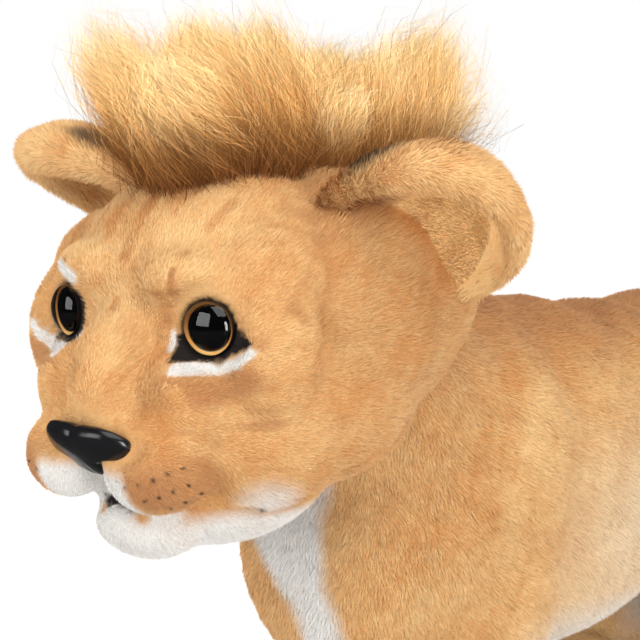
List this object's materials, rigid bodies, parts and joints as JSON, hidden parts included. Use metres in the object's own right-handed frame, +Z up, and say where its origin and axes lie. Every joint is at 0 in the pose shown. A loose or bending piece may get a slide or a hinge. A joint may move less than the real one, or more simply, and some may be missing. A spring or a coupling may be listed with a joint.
{
  "type": "plush lion",
  "caption": "Standing plush lion: stuffed body on wire-braced legs, turning head with moulded eyes and nose, soft bending ears, a long-pile crest and a hanging tufted tail.",
  "frame": {"origin": "on the floor, under the centre of the lion's bounding box", "axes": "+Z up; the lion faces -Y, so +Y runs from its nose to its tail; +X is to its left"},
  "size_m": [0.3462, 0.855, 0.564],
  "materials": {
    "short_pile": "short golden-tan plush",
    "long_pile": "long straw and tan pile",
    "lining_cloth": "thin tan-brown cloth",
    "fibre_filling": "loose white polyester fibre",
    "clear_dome": "clear polished dome",
    "eye_cup": "dark pupil with an amber ring",
    "nose_plastic": "glossy black",
    "white_plastic": "plain moulded",
    "steel_wire": "drawn wire"
  },
  "bodies": {
    "torso": {"torso_skin": "short_pile", "torso_stuffing": "fibre_filling", "front_left_leg_skin": "short_pile", "front_left_leg_stuffing": "fibre_filling", "front_left_sole": "short_pile", "front_right_leg_skin": "short_pile", "front_right_leg_stuffing": "fibre_filling", "front_right_sole": "short_pile", "rear_left_leg_skin": "short_pile", "rear_left_leg_stuffing": "fibre_filling", "rear_left_sole": "short_pile", "rear_right_leg_skin": "short_pile", "rear_right_leg_stuffing": "fibre_filling", "rear_right_sole": "short_pile", "front_leg_wire": "steel_wire", "rear_leg_wire": "steel_wire", "spine_wire": "steel_wire", "front_wire_clip": "white_plastic", "rear_wire_clip": "white_plastic"},
    "head": {"head_skin": "short_pile", "head_stuffing": "fibre_filling", "eye_left_lens": "clear_dome", "eye_left_cup": "eye_cup", "eye_left_washer": "white_plastic", "eye_right_lens": "clear_dome", "eye_right_cup": "eye_cup", "eye_right_washer": "white_plastic", "nose": "nose_plastic", "nose_washer": "white_plastic", "mane_backing": "lining_cloth", "mane_pile": "long_pile"},
    "ear_left": {"ear_left_back": "short_pile", "ear_left_lining": "lining_cloth"},
    "ear_right": {"ear_right_back": "short_pile", "ear_right_lining": "lining_cloth"},
    "tail": {"tail_skin": "short_pile", "tail_tuft": "long_pile"}
  },
  "joints": [
    {"name": "head_turn", "type": "hinge", "parent": "torso", "child": "head", "pos_m": [0, -0.1567, 0.335], "axis": [0, 0, 1], "range_deg": [-15, 15], "stiffness_Nm_per_rad": 2},
    {"name": "ear_left_bend", "type": "hinge", "parent": "head", "child": "ear_left", "pos_m": [0.094, -0.2737, 0.421], "axis": [0.4137, 0.7196, -0.5577], "range_deg": [-12, 12], "stiffness_Nm_per_rad": 0.15},
    {"name": "ear_right_bend", "type": "hinge", "parent": "head", "child": "ear_right", "pos_m": [-0.094, -0.2737, 0.421], "axis": [-0.4137, 0.7196, -0.5577], "range_deg": [-12, 12], "stiffness_Nm_per_rad": 0.15},
    {"name": "tail_swing", "type": "hinge", "parent": "torso", "child": "tail", "pos_m": [0, 0.3253, 0.3], "axis": [0, 1, 0], "range_deg": [-25, 25]}
  ]
}
